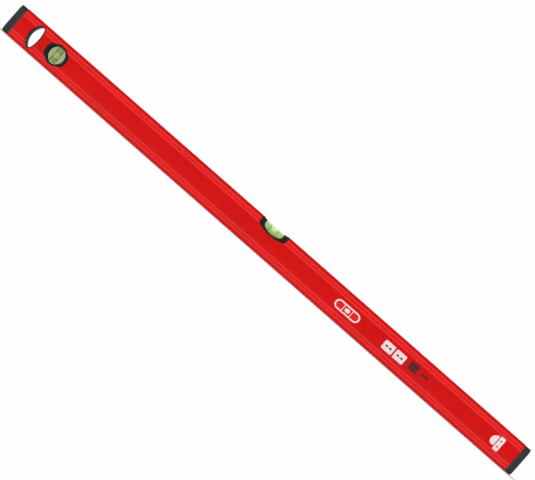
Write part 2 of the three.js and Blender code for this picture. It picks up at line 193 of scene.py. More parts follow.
class Look:
    """A material under construction: its tree, its Principled shader and the piece's coordinates."""

    def __init__(self, name, **values):
        self.material = bpy.data.materials.new(name)
        self.material.use_nodes = True
        self.tree = self.material.node_tree
        self.shader = self.tree.nodes["Principled BSDF"]
        self.place = add(self.tree, "ShaderNodeTexCoord").outputs["Object"]
        for socket, value in values.items():
            self.shader.inputs[socket.replace("_", " ")].default_value = value

    def noise(self, size, detail=3.0, roughness=0.5, stretch=(1, 1, 1)):
        """Cloudy noise with features size millimetres across, as a factor."""
        place = add(self.tree, "ShaderNodeMapping", {"Vector": self.place, "Scale": stretch})
        wanted = {"Vector": place.outputs[0], "Scale": per_mm(size), "Detail": detail,
                  "Roughness": roughness}
        return add(self.tree, "ShaderNodeTexNoise", wanted).outputs["Fac"]

    def between(self, factor, low, high, start=0.0, end=1.0):
        """factor from start to end, mapped to low to high."""
        wanted = {"Value": factor, "From Min": start, "From Max": end, "To Min": low, "To Max": high}
        return add(self.tree, "ShaderNodeMapRange", wanted).outputs["Result"]

    def blend(self, factor, first, second):
        """A colour that goes from first to second."""
        mix = add(self.tree, "ShaderNodeMix", data_type="RGBA")
        for socket, value in ((mix.inputs[0], factor), (mix.inputs[6], first), (mix.inputs[7], second)):
            if isinstance(value, bpy.types.NodeSocket):
                self.tree.links.new(value, socket)
            else:
                socket.default_value = value
        return mix.outputs[2]

    def feed(self, **sockets):
        """Links sockets of the shader, named with underscores for spaces."""
        for name, socket in sockets.items():
            self.tree.links.new(socket, self.shader.inputs[name.replace("_", " ")])

    def bump(self, height, depth, strength=1.0):
        """Raises the surface by height times depth metres."""
        node = add(self.tree, "ShaderNodeBump",
                   {"Height": height, "Distance": depth, "Strength": strength})
        self.tree.links.new(node.outputs["Normal"], self.shader.inputs["Normal"])


def shade(colour, factor):
    """A linear colour made darker or lighter."""
    return [min(c * factor, 1.0) for c in colour[:3]] + [1.0]


# ---------------------------------------------------------------- user settings


class LevelSizes(bpy.types.PropertyGroup):
    """Sizes of the finished surface. The rest comes from the frame."""

    groove_depth: bpy.props.FloatProperty(
        name="Groove depth", description="Depth of the fine groove along each ridge",
        default=0.5 * MM, min=0, unit="LENGTH", subtype="DISTANCE", precision=5)
    panel_recess: bpy.props.FloatProperty(
        name="Panel recess", description="How far the side panel lies below the ridges",
        default=0.7 * MM, min=0, unit="LENGTH", subtype="DISTANCE", precision=5)
    insert_rounding: bpy.props.FloatProperty(
        name="Insert rounding", description="Rounding of the black inserts' edges",
        default=0.5 * MM, min=0, unit="LENGTH", subtype="DISTANCE", precision=5)
    ink_thickness: bpy.props.FloatProperty(
        name="Ink thickness", description="How far the printed marks stand off the coating",
        default=0.04 * MM, min=0, unit="LENGTH", subtype="DISTANCE", precision=5)
    ring_spacing_centre: bpy.props.FloatProperty(
        name="Level ring spacing", description="Distance between the level vial's reading rings",
        default=13.3 * MM, min=0, unit="LENGTH", subtype="DISTANCE", precision=5)
    ring_spacing_plumb: bpy.props.FloatProperty(
        name="Plumb ring spacing", description="Distance between the plumb vial's reading rings",
        default=10.5 * MM, min=0, unit="LENGTH", subtype="DISTANCE", precision=5)


class LevelColours(bpy.types.PropertyGroup):
    """Colours of the finished surfaces."""

    coat: bpy.props.FloatVectorProperty(
        name="Coating", description="Powder coating of the beam",
        subtype="COLOR", size=4, default=linear("#E30303"))
    insert: bpy.props.FloatVectorProperty(
        name="Inserts", description="Black mouldings round the vials and the hand hole",
        subtype="COLOR", size=4, default=linear("#191614"))
    rubber: bpy.props.FloatVectorProperty(
        name="Bumpers", description="Rubber of the end caps",
        subtype="COLOR", size=4, default=linear("#2B2929"))
    spirit: bpy.props.FloatVectorProperty(
        name="Spirit", description="Liquid in the vials",
        subtype="COLOR", size=4, default=linear("#BFD98C"))
    bubble: bpy.props.FloatVectorProperty(
        name="Bubble", description="Bubble in the vials",
        subtype="COLOR", size=4, default=linear("#E2F5B4"))
    ink: bpy.props.FloatVectorProperty(
        name="White ink", description="Printed marks",
        subtype="COLOR", size=4, default=linear("#F4E6E4"))


class StageSettings(bpy.types.PropertyGroup):
    """Where the picture is taken from, and how it is lit."""

    camera_distance: bpy.props.FloatProperty(
        name="Camera distance", description="From the front of the level to the camera",
        default=2.6, min=0.5, unit="LENGTH", subtype="DISTANCE")
    camera_aside: bpy.props.FloatVectorProperty(
        name="Camera offset", description="How far the camera stands off the middle of the level",
        default=(1.27 * MM, 0, 1 * MM), unit="LENGTH", subtype="TRANSLATION")
    picture_width: bpy.props.FloatProperty(
        name="Picture width", description="Width that the picture covers at the level's front",
        default=0.7899, min=0.1, unit="LENGTH", subtype="DISTANCE")
    camera_roll: bpy.props.FloatProperty(
        name="Camera roll", description="How far the level runs downhill in the picture",
        default=math.radians(41.277), subtype="ANGLE", unit="ROTATION")
    front_light: bpy.props.FloatProperty(
        name="Front light", description="Brightness of the soft light that falls on the front and the back",
        default=2.28, min=0)
    strip_light: bpy.props.FloatProperty(
        name="Strip light", description="Brightness of the strip over the horizon that the sheen mirrors",
        default=1.3, min=0)
    side_light: bpy.props.FloatProperty(
        name="Side light", description="Brightness of the surround away from the other lights",
        default=0.2, min=0)


# ---------------------------------------------------------------- outlines, in X and Z


def arc(centre_x, centre_z, radius, start, end, steps=ARC_STEPS):
    """Points on an arc, both ends included."""
    turns = [start + (end - start) * i / steps for i in range(steps + 1)]
    return [(centre_x + radius * math.cos(t), centre_z + radius * math.sin(t)) for t in turns]


def hand_hole_outline(offset=0.0):
    """The hand hole about its tips, grown by offset. Every arc keeps its centre."""
    tip_height = HAND_HOLE_HALF_HEIGHT - HAND_HOLE_TIP
    sides = []
    for bulge in (HAND_HOLE_LEFT, HAND_HOLE_RIGHT):
        beyond = bulge - HAND_HOLE_TIP
        centre = (tip_height ** 2 - beyond ** 2) / (2 * beyond)
        sides.append((centre, centre + bulge + offset, math.atan2(tip_height, centre)))
    (left, left_radius, left_lean), (right, right_radius, right_lean) = sides
    tip = HAND_HOLE_TIP + offset
    points = []
    points += arc(-right, 0, right_radius, -right_lean, right_lean)[:-1]
    points += arc(0, tip_height, tip, right_lean, math.pi - left_lean, ARC_STEPS // 2)[:-1]
    points += arc(left, 0, left_radius, math.pi - left_lean, math.pi + left_lean)[:-1]
    points += arc(0, -tip_height, tip, math.pi + left_lean, math.tau - right_lean, ARC_STEPS // 2)[:-1]
    return points


def plumb_outline(offset=0.0):
    """The plumb bezel about its middle, grown by offset."""
    ear_turn = math.asin((EAR_HALF_HEIGHT + offset) / (EAR_RADIUS + offset))
    round_turn = math.asin((BEZEL_SHOULDER + offset) / (BEZEL_RADIUS + offset))
    points = []
    for side in (0, math.pi):
        points += arc(0, 0, EAR_RADIUS + offset, side - ear_turn, side + ear_turn)
        points += arc(0, 0, BEZEL_RADIUS + offset, side + round_turn, side + math.pi - round_turn)
    return points


def bowl_outline(bowl, offset, rise):
    """A bowl from the measuring face down, grown by offset, with its top at rise."""
    half, corner_radius, floor_radius, depth = bowl
    corner_x = half - corner_radius
    floor_middle = floor_radius - depth
    corner_z = floor_middle - math.sqrt((floor_radius - corner_radius) ** 2 - corner_x ** 2)
    lean = math.atan2(corner_x, floor_middle - corner_z)
    down = -math.pi / 2
    radius = corner_radius + offset
    points = [(-half - offset, rise)]
    points += arc(-corner_x, corner_z, radius, -math.pi, down - lean, ARC_STEPS // 2)[:-1]
    points += arc(0, floor_middle, floor_radius + offset, down - lean, down + lean)[:-1]
    points += arc(corner_x, corner_z, radius, down + lean, 0, ARC_STEPS // 2)
    return points + [(half + offset, rise)]


def oval_at(outline, half_sizes, offset=0.0):
    """Points on an oval at the same bearings as an outline's, so that the two can be joined."""
    across, up = (size + offset for size in half_sizes)
    bearings = [math.atan2(z, x) for x, z in outline]
    return [(across * math.cos(t), up * math.sin(t)) for t in bearings]


def rounded_box(width, height, radius, steps=6):
    """A rectangle with rounded corners about its middle."""
    across, up = width / 2 - radius, height / 2 - radius
    points = []
    for i, (x, z) in enumerate(((across, up), (-across, up), (-across, -up), (across, -up))):
        points += arc(x, z, radius, i * math.pi / 2, (i + 1) * math.pi / 2, steps)
    return points


# ---------------------------------------------------------------- outlines, in Y and Z


def shoulder(half_width, half_height):
    """One corner of the section, from the measuring face out and down to the crest of the side."""
    span = math.sqrt((SHOULDER_RADIUS - EDGE_RADIUS) ** 2 - (CREST - EDGE_RADIUS) ** 2)
    lean = math.atan2(CREST - EDGE_RADIUS, span)
    middle = half_width - SHOULDER_RADIUS
    edge = arc(middle + span, half_height - EDGE_RADIUS, EDGE_RADIUS, math.pi / 2, lean, PROFILE_STEPS)
    return edge + arc(middle, half_height - CREST, SHOULDER_RADIUS, lean, 0, 2 * PROFILE_STEPS)[1:]


def mirrored(corner):
    """A whole section from its corner at +Y +Z."""
    right = corner + [(y, -z) for y, z in reversed(corner)]
    return right + [(-y, -z) for y, z in right]


# ---------------------------------------------------------------- meshes


def object_of(name, vertices, faces):
    """A mesh object at the origin whose faces point outwards."""
    mesh = bpy.data.meshes.new(name)
    mesh.from_pydata([tuple(v) for v in vertices], [], faces)
    made = bpy.data.objects.new(name, mesh)
    bpy.context.scene.collection.objects.link(made)
    work = bmesh.new()
    work.from_mesh(mesh)
    bmesh.ops.remove_doubles(work, verts=work.verts, dist=1e-7)
    bmesh.ops.recalc_face_normals(work, faces=work.faces)
    work.to_mesh(mesh)
    work.free()
    return made


def loft(name, rings, closed=False):
    """A skin over rings of equal point count. It ends in flat caps, or closes on its first ring."""
    count = len(rings[0])
    vertices = [point for ring in rings for point in ring]
    spans = range(len(rings) if closed else len(rings) - 1)
    faces = []
    for i in spans:
        here, there = i * count, (i + 1) % len(rings) * count
        for j in range(count):
            k = (j + 1) % count
            faces.append((here + j, here + k, there + k, there + j))
    if not closed:
        faces.append(tuple(range(count)))
        faces.append(tuple(range(len(vertices) - count, len(vertices))))
    return object_of(name, vertices, faces)


def prism(name, outline, near, far, middle=Vector()):
    """An outline in X and Z, extruded along Y from near to far."""
    rings = [[middle + Vector((x, y, z)) for x, z in outline] for y in (near, far)]
    return loft(name, rings)


def bar_along_x(name, outline, start, end, middle):
    """An outline in Y and Z, extruded along X from start to end."""
    rings = [[middle + Vector((x, y, z)) for y, z in outline] for x in (start, end)]
    return loft(name, rings)


def block(name, low, high):
    """A plain box between two corners, for cutting and joining."""
    outline = [(low.x, low.z), (high.x, low.z), (high.x, high.z), (low.x, high.z)]
    return prism(name, outline, low.y, high.y)


def turned(name, profile, place, steps=ROUND_STEPS):
    """A body turned about Z from (radius, height) pairs, then put in place by a matrix."""
    rings = []
    for radius, height in profile:
        bearings = [math.tau * i / steps for i in range(steps)]
        rings.append([place @ Vector((radius * math.cos(t), radius * math.sin(t), height))
                      for t in bearings])
    return loft(name, rings)


def rounded_rod(radius, start, end, rounding, steps=CORNER_STEPS):
    """The profile of a rod along Z with rounded rims."""
    quarter = [math.pi / 2 * i / steps for i in range(steps + 1)]
    first = [(radius - rounding + rounding * math.sin(t), start + rounding - rounding * math.cos(t))
             for t in quarter]
    last = [(radius - rounding + rounding * math.cos(t), end - rounding + rounding * math.sin(t))
            for t in quarter]
    return first + last


def settle(made):
    """Turns an object's modifiers into plain mesh, and takes them off."""
    depsgraph = bpy.context.evaluated_depsgraph_get()
    depsgraph.update()
    mesh = bpy.data.meshes.new_from_object(made.evaluated_get(depsgraph), depsgraph=depsgraph)
    made.modifiers.clear()
    made.data = mesh
    mesh.name = made.name
    return made


def carve(made, others, operation="DIFFERENCE"):
    """Cuts the others out of made, or joins them to it, and deletes them."""
    for other in others:
        modifier = made.modifiers.new("Carve", "BOOLEAN")
        modifier.operation = operation
        modifier.solver = "EXACT"
        modifier.object = other
        modifier.material_mode = "TRANSFER"
    settle(made)
    for other in others:
        bpy.data.objects.remove(other)
    return made


def smooth(made, degrees=35):
    """Shades a mesh smooth, with its sharper edges kept."""
    work = bmesh.new()
    work.from_mesh(made.data)
    for face in work.faces:
        face.smooth = True
    limit = math.radians(degrees)
    for edge in work.edges:
        edge.smooth = edge.is_manifold and edge.calc_face_angle(math.pi) < limit
    work.to_mesh(made.data)
    work.free()
    return made


def even(made):
    """Turns the shading of each vertex towards its larger faces, so that flats look flat."""
    made.modifiers.new("Even", "WEIGHTED_NORMAL").keep_sharp = True
    return settle(made)


def polish(made, degrees=30):
    """Shades a clear block smooth where it is rounded, and dead flat on its big faces."""
    smooth(made, degrees)
    for face in made.data.polygons:
        if face.area > POLISHED_FACE:
            face.use_smooth = False
    return made


def round_edges(made, width, degrees=40, segments=3):
    """Rounds every edge sharper than degrees, and evens the shading of the flats beside it."""
    bevel = made.modifiers.new("Round", "BEVEL")
    bevel.width = width
    bevel.segments = segments
    bevel.limit_method = "ANGLE"
    bevel.angle_limit = math.radians(degrees)
    bevel.use_clamp_overlap = True
    settle(made)
    return even(smooth(made))


def dress(made, *materials):
    """Gives a piece its materials, in slot order."""
    made.data.materials.clear()
    for material in materials:
        made.data.materials.append(material)
    return made


def enter(made, body, slot, *nodes):
    """Puts a finished piece into the frame: it rides on a body and stands for CAD nodes."""
    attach(made, body)
    if nodes:
        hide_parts(*nodes)
    return made


# ---------------------------------------------------------------- geometry node trees


def tree_with(name, **sockets):
    """A geometry node tree with named inputs. Gives the tree, its input node and its output node."""
    tree = bpy.data.node_groups.new(name, "GeometryNodeTree")
    tree.interface.new_socket("Geometry", in_out="INPUT", socket_type="NodeSocketGeometry")
    for label, kind in sockets.items():
        tree.interface.new_socket(label.replace("_", " "), in_out="INPUT", socket_type=kind)
    tree.interface.new_socket("Geometry", in_out="OUTPUT", socket_type="NodeSocketGeometry")
    return tree, add(tree, "NodeGroupInput"), add(tree, "NodeGroupOutput")


def grow(name, tree, **values):
    """A new object made by a node tree with these input values, turned into plain mesh."""
    made = bpy.data.objects.new(name, bpy.data.meshes.new(name))
    bpy.context.scene.collection.objects.link(made)
    modifier = made.modifiers.new("Grow", "NODES")
    modifier.node_group = tree
    for item in tree.interface.items_tree:
        label = item.name.replace(" ", "_")
        if item.in_out == "INPUT" and label in values:
            modifier[item.identifier] = values[label]
    return settle(made)


HOLLOW_SHARE = 1.1            # the hollow's cutter is this many times as long as the beam


def extrusion_tree():
    """A tube of one section with a hollow, cut to length, with openings milled through it."""
    tree, given, result = tree_with(
        "Milled extrusion", Section="NodeSocketObject", Hollow="NodeSocketObject",
        Openings="NodeSocketObject", Half_length="NodeSocketFloat", Axis_height="NodeSocketFloat",
        Material="NodeSocketMaterial", Bare_material="NodeSocketMaterial")
    half = given.outputs["Half length"]
    bars = []
    for source, share, paint in (("Section", 1, "Material"), ("Hollow", HOLLOW_SHARE, "Bare material")):
        shape = add(tree, "GeometryNodeObjectInfo", {"Object": given.outputs[source]}).outputs["Geometry"]
        ends = [add(tree, "ShaderNodeCombineXYZ",
                    {"X": maths(tree, "MULTIPLY", half, side * share), "Z": given.outputs["Axis height"]})
                .outputs[0] for side in (-1, 1)]
        path = add(tree, "GeometryNodeCurvePrimitiveLine", {"Start": ends[0], "End": ends[1]})
        bar = add(tree, "GeometryNodeCurveToMesh",
                  {"Curve": path.outputs[0], "Profile Curve": shape, "Fill Caps": True})
        painted = add(tree, "GeometryNodeSetMaterial",
                      {"Geometry": bar.outputs[0], "Material": given.outputs[paint]})
        bars.append(painted.outputs[0])
    openings = add(tree, "GeometryNodeObjectInfo", {"Object": given.outputs["Openings"]})
    cut = add(tree, "GeometryNodeMeshBoolean", {"Mesh 1": bars[0]}, operation="DIFFERENCE", solver="EXACT")
    for cutter in (bars[1], openings.outputs["Geometry"]):
        tree.links.new(cutter, cut.inputs["Mesh 2"])
    real = add(tree, "GeometryNodeRealizeInstances", {"Geometry": cut.outputs["Mesh"]})
    tree.links.new(real.outputs[0], result.inputs[0])
    return tree


def ring_tree():
    """Rings of flat section, evenly spaced along X about the middle."""
    tree, given, result = tree_with(
        "Reading rings", Count="NodeSocketInt", Spacing="NodeSocketFloat", Width="NodeSocketFloat",
        Inner="NodeSocketFloat", Outer="NodeSocketFloat", Material="NodeSocketMaterial")
    out = given.outputs
    radius = maths(tree, "MULTIPLY", maths(tree, "ADD", out["Inner"], out["Outer"]), 0.5)
    thick = maths(tree, "SUBTRACT", out["Outer"], out["Inner"])
    hoop = add(tree, "GeometryNodeCurvePrimitiveCircle",
               {"Resolution": ROUND_STEPS, "Radius": radius}, mode="RADIUS")
    band = add(tree, "GeometryNodeCurvePrimitiveQuadrilateral",
               {"Width": thick, "Height": out["Width"]}, mode="RECTANGLE")
    ring = add(tree, "GeometryNodeCurveToMesh",
               {"Curve": hoop.outputs[0], "Profile Curve": band.outputs[0], "Fill Caps": False})
    upright = add(tree, "GeometryNodeTransform",
                  {"Geometry": ring.outputs[0], "Rotation": (0, math.pi / 2, 0)})
    span = maths(tree, "MULTIPLY", maths(tree, "SUBTRACT", out["Count"], 1.0), out["Spacing"])
    start = add(tree, "ShaderNodeCombineXYZ", {"X": maths(tree, "MULTIPLY", span, -0.5)})
    step = add(tree, "ShaderNodeCombineXYZ", {"X": out["Spacing"]})
    row = add(tree, "GeometryNodeMeshLine",
              {"Count": out["Count"], "Start Location": start.outputs[0], "Offset": step.outputs[0]})
    copies = add(tree, "GeometryNodeInstanceOnPoints",
                 {"Points": row.outputs[0], "Instance": upright.outputs[0]})
    real = add(tree, "GeometryNodeRealizeInstances", {"Geometry": copies.outputs[0]})
    inked = add(tree, "GeometryNodeSetMaterial",
                {"Geometry": real.outputs[0], "Material": out["Material"]})
    tree.links.new(inked.outputs[0], result.inputs[0])
    return tree


# ---------------------------------------------------------------- materials

PAINTED_GLOW = 0.45            # painted glow: emission standing in for light through the vials from behind, as a share of their colour


def powder_coated_aluminium(colour):
    """Sprayed polyester powder, baked: an even colour with a fine orange peel that breaks up reflections."""
    look = Look("powder_coated_aluminium", Metallic=0.14, Specular_IOR_Level=0.32)
    clouds = look.noise(40, detail=2)
    tone = look.blend(look.between(clouds, 0, 1, 0.35, 0.65), shade(colour, 0.97), shade(colour, 1.03))
    peel = look.noise(1.4, detail=2)
    look.feed(Base_Color=tone, Roughness=look.between(peel, 0.16, 0.21, 0.3, 0.7))
    look.bump(peel, 0.01 * MM)
    return look.material


def mill_finish_aluminium():
    """Bare extruded aluminium inside the beam: dull, with fine die lines along its length."""
    look = Look("mill_finish_aluminium", Metallic=1.0, Roughness=0.45)
    lines = look.noise(0.6, detail=2, stretch=(0.02, 1, 1))
    tone = look.blend(lines, linear("#9D9FA1"), linear("#BFC1C2"))
    look.feed(Base_Color=tone, Roughness=look.between(lines, 0.38, 0.55))
    look.bump(lines, 0.02 * MM)
    return look.material


def moulded_abs(colour):
    """Injection-moulded ABS with a spark-eroded grain, which gives it a soft, broken sheen."""
    look = Look("moulded_abs", Specular_IOR_Level=0.2)
    grain = look.noise(0.5, detail=4, roughness=0.6)
    clouds = look.noise(12)
    tone = look.blend(look.between(clouds, 0, 1, 0.35, 0.65), shade(colour, 0.85), shade(colour, 1.2))
    look.feed(Base_Color=tone, Roughness=look.between(grain, 0.5, 0.68, 0.3, 0.7))
    look.bump(grain, 0.03 * MM)
    return look.material


def moulded_nylon():
    """Glass-filled nylon of the cap cores: dark, with a slightly dry, fibrous surface."""
    look = Look("glass_filled_nylon", Roughness=0.55)
    fibres = look.noise(0.8, detail=4, stretch=(0.25, 1, 1))
    tone = look.blend(fibres, linear("#1E1D1D"), linear("#333231"))
    look.feed(Base_Color=tone, Roughness=look.between(fibres, 0.48, 0.65))
    look.bump(fibres, 0.02 * MM)
    return look.material


def moulded_rubber(colour):
    """Moulded thermoplastic rubber: matte, with a trace of dust held in its grain."""
    look = Look("moulded_rubber", Roughness=0.75, Specular_IOR_Level=0.3)
    grain = look.noise(0.7, detail=5, roughness=0.6)
    dust = look.noise(9, detail=4)
    tone = look.blend(look.between(dust, 0, 1, 0.45, 0.8), colour, shade(colour, 1.6))
    look.feed(Base_Color=tone, Roughness=look.between(grain, 0.66, 0.85))
    look.bump(grain, 0.05 * MM)
    return look.material


def cast_acrylic(name, tint):
    """Cast and polished acrylic: clear, with the faint waviness of a flame-polished face. Its tint colours
    the light through it, and in the plumb block it also holds painted shade.
    """
    look = Look(name, Roughness=0.03, IOR=1.49, Transmission_Weight=1.0)
    look.shader.inputs["Base Color"].default_value = tint
    look.bump(look.noise(6, detail=1), 0.01 * MM)
    return look.material


def wetted_acrylic():
    """The bore's wall where spirit touches it: neither side bends or mirrors the light."""
    look = Look("wetted_acrylic", Roughness=0.0, IOR=1.01, Transmission_Weight=1.0,
                Specular_IOR_Level=0.0)
    look.shader.inputs["Base Color"].default_value = linear("#FFFFFF")
    return look.material


def dyed_spirit(colour):
    """Dyed mineral spirit in its vial: a yellow-green, with a painted glow in its own colour that stands in
    for the light it lets through.
    """
    look = Look("dyed_spirit", Roughness=0.3, Specular_IOR_Level=0.2)
    swirl = look.noise(5, detail=1)
    tone = look.blend(look.between(swirl, 0, 1, 0.35, 0.65), shade(colour, 0.92), shade(colour, 1.06))
    # painted glow: the spirit emits its own colour in place of light from behind
    look.shader.inputs["Emission Strength"].default_value = PAINTED_GLOW
    look.feed(Base_Color=tone, Emission_Color=tone)
    return look.material


def gas_bubble(colour):
    """The bubble: paler than the spirit round it, with the same painted glow in place of light through it.
    """
    look = Look("gas_bubble", Roughness=0.2, Specular_IOR_Level=0.3)
    swirl = look.noise(4, detail=1)
    tone = look.blend(swirl, shade(colour, 0.95), shade(colour, 1.04))
    # painted glow, as in the spirit: emission in place of light from behind
    look.shader.inputs["Emission Strength"].default_value = PAINTED_GLOW
    look.feed(Base_Color=tone, Emission_Color=tone)
    return look.material


def ring_lacquer():
    """The reading rings: fine lines of green lacquer in the bore."""
    look = Look("ring_lacquer", Roughness=0.4)
    streaks = look.noise(1.5)
    look.feed(Base_Color=look.blend(streaks, linear("#3E5A22"), linear("#56762F")))
    return look.material


def stopper_plastic():
    """The stopper: milky moulded polypropylene, tinted by the spirit behind it."""
    look = Look("stopper_polypropylene", Roughness=0.35, Subsurface_Weight=0.4, Subsurface_Scale=0.002)
    clouds = look.noise(3)
    look.feed(Base_Color=look.blend(clouds, linear("#C9D6A6"), linear("#DCE6C2")))
    return look.material


def printed_ink(name, colour):
    """Pad-printed ink: thin and flat, a little duller than the coating, and thinner in places."""
    look = Look(name, Roughness=0.55, Specular_IOR_Level=0.3)
    wear = look.noise(1.2, detail=4)
    tone = look.blend(look.between(wear, 0, 1, 0.4, 0.9), colour, shade(colour, 0.86))
    look.feed(Base_Color=tone, Roughness=look.between(wear, 0.5, 0.65))
    return look.material


# ---------------------------------------------------------------- the beam


def section_points(sizes):
    """The section of the beam about its middle, in Y and Z."""
    quarter = [(y, -z) for y, z in shoulder(HALF_WIDTH, 0)]
    for i in range(PROFILE_STEPS + 1):
        t = i / PROFILE_STEPS
        dip = sizes.groove_depth * math.sin(math.pi * t) ** 2
        quarter.append((HALF_WIDTH - dip, GROOVE_START + (GROOVE_END - GROOVE_START) * t))
    for i in range(PROFILE_STEPS + 1):
        t = i / PROFILE_STEPS
        fall = sizes.panel_recess * (1 - (1 - t) ** 2)
        quarter.append((HALF_WIDTH - fall, RIDGE_END + (PANEL_START - RIDGE_END) * t))
    return mirrored([(y, MIDDLE - depth) for y, depth in quarter])


def section_curve(name, points):
    """A closed flat curve through points, for sweeping along the beam."""
    curve = bpy.data.curves.new(name, "CURVE")
    spline = curve.splines.new("POLY")
    spline.points.add(len(points) - 1)
    for place, (across, up) in zip(spline.points, points):
        place.co = (across, up, 0, 1)
    spline.use_cyclic_u = True
    made = bpy.data.objects.new(name, curve)
    bpy.context.scene.collection.objects.link(made)
    return made


def build_beam(sizes, colours):
    """Sweeps the section along the beam and mills the openings for the inserts through it."""
    through = (-CUTTER_REACH, CUTTER_REACH)
    openings = [
        prism("hand_opening", hand_hole_outline(), *through, HAND_HOLE),
        prism("plumb_opening", plumb_outline(), *through, PLUMB),
        prism("level_opening", bowl_outline(NOTCH, 0, CUTTER_REACH), *through,
              Vector((LEVEL.x, 0, HEIGHT))),
    ]
    coat = powder_coated_aluminium(colours.coat)
    bare = mill_finish_aluminium()
    for opening in openings:
        dress(opening, coat)
    cutter = carve(openings[0], openings[1:], "UNION")
    hollow_width, hollow_height = 2 * HOLLOW_HALF_WIDTH, HEIGHT - 2 * FLANGE
    section = section_curve("section", section_points(sizes))
    hollow = section_curve("hollow", rounded_box(hollow_width, hollow_height, HOLLOW_RADIUS))
    beam = grow("beam_extrusion", extrusion_tree(), Section=section, Hollow=hollow, Openings=cutter,
                Half_length=HALF_LENGTH, Axis_height=MIDDLE, Material=coat, Bare_material=bare)
    for helper in (section, hollow, cutter):
        bpy.data.objects.remove(helper)
    round_edges(beam, BEAM_EDGE, degrees=60, segments=2)
    enter(beam, "level_body", "beam_coating", "beam")


# ---------------------------------------------------------------- the inserts


def insert_rings(outline, path, middle, side):
    """Rings of an insert from (offset or finished outline, Y) pairs; side is -1 in front, 1 behind."""
    rings = []
    for shape, y in path:
        points = outline(shape) if isinstance(shape, float) else shape
        rings.append([middle + Vector((x, side * y, z)) for x, z in points])
    return rings


def corner(rounding, steps=CORNER_STEPS):
    """Setbacks of a rounded corner: (in from the wall, down from the face), wall side first."""
    turns = [math.pi / 2 * i / steps for i in range(steps + 1)]
    return [(rounding - rounding * math.cos(t), rounding - rounding * math.sin(t)) for t in turns]


def build_hand_hole(sizes, colours):
    """The two sleeves that line the hand hole, with full, rounded lips."""
    material = moulded_abs(colours.insert)
    lip = sizes.insert_rounding
    for name, side in (("front", -1), ("back", 1)):
        path = [(-FIT, PARTING)]
        path += [(-FIT - inward, INSERT_FACE - down) for inward, down in corner(lip)]
        path += [(-LINER_WALL + inward, INSERT_FACE - down) for inward, down in reversed(corner(lip))]
        path += [(-LINER_WALL, PARTING)]
        rings = insert_rings(hand_hole_outline, path, HAND_HOLE, side)
        sleeve = smooth(loft(f"hand_hole_sleeve_{name}", rings, closed=True))
        dress(sleeve, material)
        enter(sleeve, "level_body", "black_insert", f"hand_hole_liner_{name}")


def build_plumb_bezels(sizes, material):
    """The two bezels round the plumb window, with ears, a funnel lip and a pocket for the block."""
    outer = plumb_outline()
    rounding = sizes.insert_rounding
    block_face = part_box("plumb_vial_block")[1].y + FIT
    for name, side in (("front", -1), ("back", 1)):
        path = [(-FIT, PARTING)]
        path += [(-FIT - inward, INSERT_FACE - down) for inward, down in corner(rounding)]
        for wider, depth in MOUTH:
            path.append((oval_at(outer, WINDOW, wider * MM), INSERT_FACE - depth * MM))
        path += [(oval_at(outer, WINDOW), block_face), (oval_at(outer, POCKET), block_face),
                 (oval_at(outer, POCKET), PARTING)]
        rings = insert_rings(plumb_outline, path, PLUMB, side)
        bezel = smooth(loft(f"plumb_window_bezel_{name}", rings, closed=True), 30)
        dress(bezel, material)
        enter(bezel, "level_body", "black_insert", f"plumb_bezel_{name}")


def build_cradles(sizes, material):
    """The two halves of the cradle that holds the level vial in its notch."""
    low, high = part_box("centre_cradle_front")
    block_low, block_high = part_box("centre_vial_block")
    face = Vector((LEVEL.x, 0, HEIGHT))
    for name, side in (("front", -1), ("back", 1)):
        cheek = prism(f"level_cradle_{name}", bowl_outline(NOTCH, -FIT, CRADLE_TOP - HEIGHT),
                      side * INSERT_FACE, side * (CRADLE_BODY_HALF_WIDTH - MM), face)
        near, far = sorted((side * CRADLE_BODY_HALF_WIDTH, side * PARTING))
        body = block("body", Vector((low.x + FIT, near, low.z)), Vector((high.x - FIT, far, high.z)))
        carve(cheek, [body], "UNION")
        section = mirrored(shoulder(INSERT_FACE, CRADLE_TOP - MIDDLE))
        bar = bar_along_x("bar", section, -NOTCH[0], NOTCH[0], Vector((LEVEL.x, 0, MIDDLE)))
        carve(cheek, [bar], "INTERSECT")
        near, far = sorted((side * (block_high.y + FIT), -side * CUTTER_REACH))
        pocket = block("pocket", Vector((block_low.x - FIT, near, block_low.z - FIT)),
                       Vector((block_high.x + FIT, far, HEIGHT + CUTTER_REACH)))
        window = prism("window", bowl_outline(CRADLE_WINDOW, 0, CUTTER_REACH),
                       -CUTTER_REACH, CUTTER_REACH, face)
        carve(cheek, [pocket, window])
        dress(cheek, material)
        round_edges(cheek, CRADLE_EDGE_SHARE * sizes.insert_rounding, degrees=30)
        enter(cheek, "level_body", "black_insert", f"centre_cradle_{name}")


# ---------------------------------------------------------------- the vials


def along_x(middle):
    """Puts a body turned about Z along X, with its own X side up, about a middle."""
    return Matrix.Translation(middle) @ Matrix(((0, 0, 1, 0), (0, 1, 0, 0), (-1, 0, 0, 0), (0, 0, 0, 1)))


def bore_cutter(name, start, end, place, material):
    """A rod that drills a vial's bore and lines it with its own material."""
    cutter = turned(name, [(BORE_RADIUS, start), (BORE_RADIUS, end)], place)
    return dress(cutter, material)


def bubble_rings(half_length, half_turn, steps=28, around=24):
    """Rings of a bubble under the wall of a tube along X: it lies on +Z and has rounded ends."""
    rings = []
    for i in range(1, steps):
        angle = math.pi * i / steps
        x = -half_length * math.cos(angle)
        spread = half_turn * math.sin(angle) ** BUBBLE_BLUNTNESS
        wall = [(BUBBLE_REACH * math.sin(t), BUBBLE_REACH * math.cos(t))
                for t in (spread * (2 * j / around - 1) for j in range(around + 1))]
        edge_y, edge_z = wall[-1]
        sag = BUBBLE_SAG * edge_y
        under = [(edge_y * math.cos(t), edge_z - sag * math.sin(t))
                 for t in (math.pi * j / around for j in range(1, around))]
        rings.append([Vector((x, y, z)) for y, z in wall + under])
    return rings


